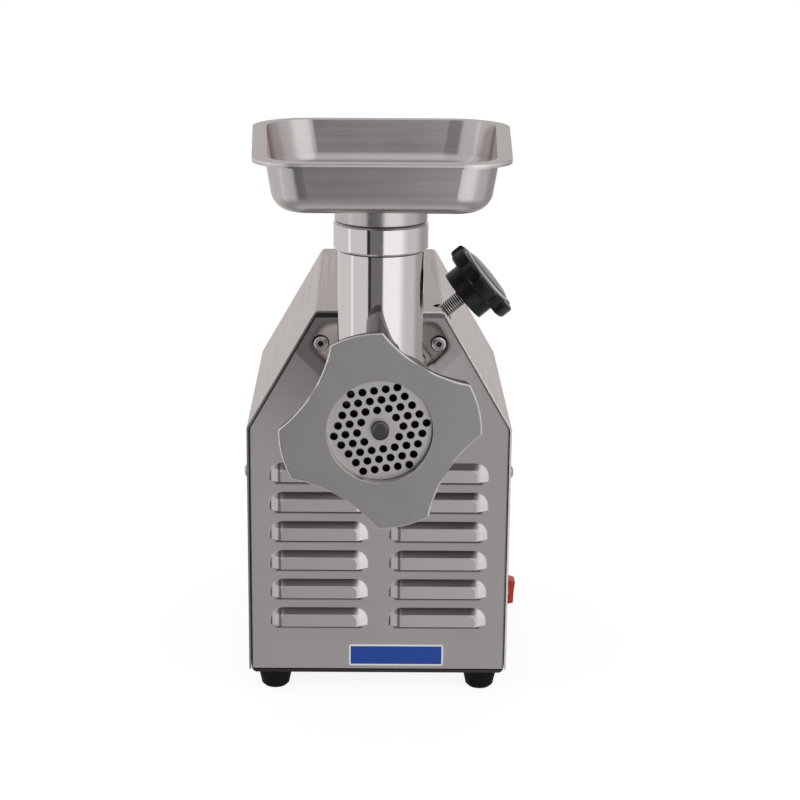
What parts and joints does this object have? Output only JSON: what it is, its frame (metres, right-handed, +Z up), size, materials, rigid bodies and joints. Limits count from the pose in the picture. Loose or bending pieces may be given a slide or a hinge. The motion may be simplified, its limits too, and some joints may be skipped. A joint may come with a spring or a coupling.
{
  "type": "electric meat grinder",
  "caption": "Bench-top electric meat grinder with a folded steel housing, screw-feed cutting head, ring nut, feed pan, star knob and rocker switch.",
  "frame": {"origin": "on the table, on the machine's middle plane, half way between the feed pan's front edge and the cable inlet's end", "axes": "+Z up, the cutting head faces -Y, +X to the right of someone in front of the machine"},
  "size_m": [0.181, 0.3516, 0.3783],
  "materials": {
    "housing_steel": "brushed stainless sheet",
    "panel_steel": "brushed stainless sheet",
    "pan_steel": "brushed stainless pressing",
    "polished_cast": "polished cast metal",
    "nut_cast": "matt cast metal",
    "plate_steel": "ground tool steel",
    "screw_steel": "bright plated",
    "black_knob": "glossy black",
    "foot_rubber": "matt black",
    "switch_black": "satin black",
    "rocker_red": "glossy red",
    "nameplate_blue": "plain blue with a light border",
    "inlet_plastic": "satin black",
    "tray_steel": "plain steel sheet",
    "case_cast": "as cast",
    "gear_steel": "machined steel",
    "bearing_steel": "ground steel",
    "core_steel": "stacked sheet",
    "winding_copper": "enamelled wire",
    "fan_plastic": "satin black",
    "seal_rubber": "matt dark",
    "bush_brass": "machined",
    "capacitor_plastic": "pale grey"
  },
  "bodies": {
    "housing": {"base_tray": "tray_steel", "front_panel": "panel_steel", "housing_cover": "housing_steel", "rear_panel": "panel_steel", "rubber_feet": "foot_rubber", "foot_screws": "screw_steel", "cover_screws": "screw_steel", "blank_nameplate": "nameplate_blue", "cable_inlet": "inlet_plastic", "inlet_lock_nut": "inlet_plastic", "gear_case": "case_cast", "gear_case_cover": "case_cast", "gear_case_screws": "screw_steel", "head_bolts": "screw_steel", "output_seal": "seal_rubber", "output_bearings": "bearing_steel", "layshaft_bearings": "bearing_steel", "motor_bearings": "bearing_steel", "stator_core": "core_steel", "stator_windings": "winding_copper", "motor_front_shield": "case_cast", "motor_rear_shield": "case_cast", "motor_through_bolts": "screw_steel", "motor_cradle": "tray_steel", "run_capacitor": "capacitor_plastic", "capacitor_clip": "tray_steel", "switch_body": "switch_black", "rocker_pivot": "screw_steel"},
    "rotor": {"rotor_shaft": "gear_steel", "rotor_core": "core_steel", "motor_fan": "fan_plastic"},
    "layshaft": {"layshaft": "gear_steel", "layshaft_gear": "gear_steel"},
    "output": {"output_shaft": "gear_steel", "output_gear": "gear_steel"},
    "head": {"grinder_head": "polished_cast", "plate_key_pin": "screw_steel", "auger_bush": "bush_brass"},
    "auger": {"auger": "polished_cast", "cross_knife": "plate_steel", "thrust_washer": "bush_brass"},
    "plate": {"grinder_plate": "plate_steel"},
    "nut": {"ring_nut": "nut_cast"},
    "pan": {"feed_pan": "pan_steel"},
    "clamp_screw": {"clamp_stud": "screw_steel"},
    "knob": {"clamp_knob": "black_knob", "knob_cap": "black_knob"},
    "rocker": {"switch_rocker": "rocker_red"}
  },
  "joints": [
    {"name": "motor_spin", "type": "hinge", "parent": "housing", "child": "rotor", "pos_m": [0, 0, 0.1046], "axis": [0, 1, 0], "continuous": true},
    {"name": "layshaft_spin", "type": "hinge", "parent": "housing", "child": "layshaft", "pos_m": [0, 0, 0.1586], "axis": [0, 1, 0], "continuous": true},
    {"name": "output_spin", "type": "hinge", "parent": "housing", "child": "output", "pos_m": [0, 0, 0.2126], "axis": [0, 1, 0], "continuous": true},
    {"name": "head_withdraw", "type": "slide", "parent": "housing", "child": "head", "axis": [0, -1, 0], "range_m": [0, 0.06]},
    {"name": "auger_spin", "type": "hinge", "parent": "head", "child": "auger", "pos_m": [0, 0, 0.2126], "axis": [0, 1, 0], "continuous": true},
    {"name": "plate_out", "type": "slide", "parent": "head", "child": "plate", "axis": [0, -1, 0], "range_m": [0, 0.0201]},
    {"name": "nut_turn", "type": "hinge", "parent": "plate", "child": "nut", "pos_m": [0, -0.12, 0.2126], "axis": [0, -1, 0], "range_deg": [0, 1800]},
    {"name": "pan_lift", "type": "slide", "parent": "head", "child": "pan", "axis": [0, 0, 1], "range_m": [0, 0.05]},
    {"name": "clamp_feed", "type": "slide", "parent": "housing", "child": "clamp_screw", "axis": [0.766, 0, 0.6428], "range_m": [0, 0.0061]},
    {"name": "knob_turn", "type": "hinge", "parent": "clamp_screw", "child": "knob", "pos_m": [-0.00591, -0.02025, 0.21965], "axis": [0.766, 0, 0.6428], "range_deg": [0, 1440]},
    {"name": "rocker_tilt", "type": "hinge", "parent": "housing", "child": "rocker", "pos_m": [0.0875, -0.00025, 0.0603], "axis": [0, 1, 0], "range_deg": [-8, 0]}
  ],
  "couplings": [
    {"joint": "layshaft_spin", "follows": "motor_spin", "ratio": -0.28571},
    {"joint": "output_spin", "follows": "motor_spin", "ratio": 0.1203},
    {"joint": "auger_spin", "follows": "motor_spin", "ratio": 0.1203},
    {"joint": "plate_out", "follows": "nut_turn", "m_per_rad": 0.00063662},
    {"joint": "clamp_feed", "follows": "knob_turn", "m_per_rad": 0.00023873}
  ]
}
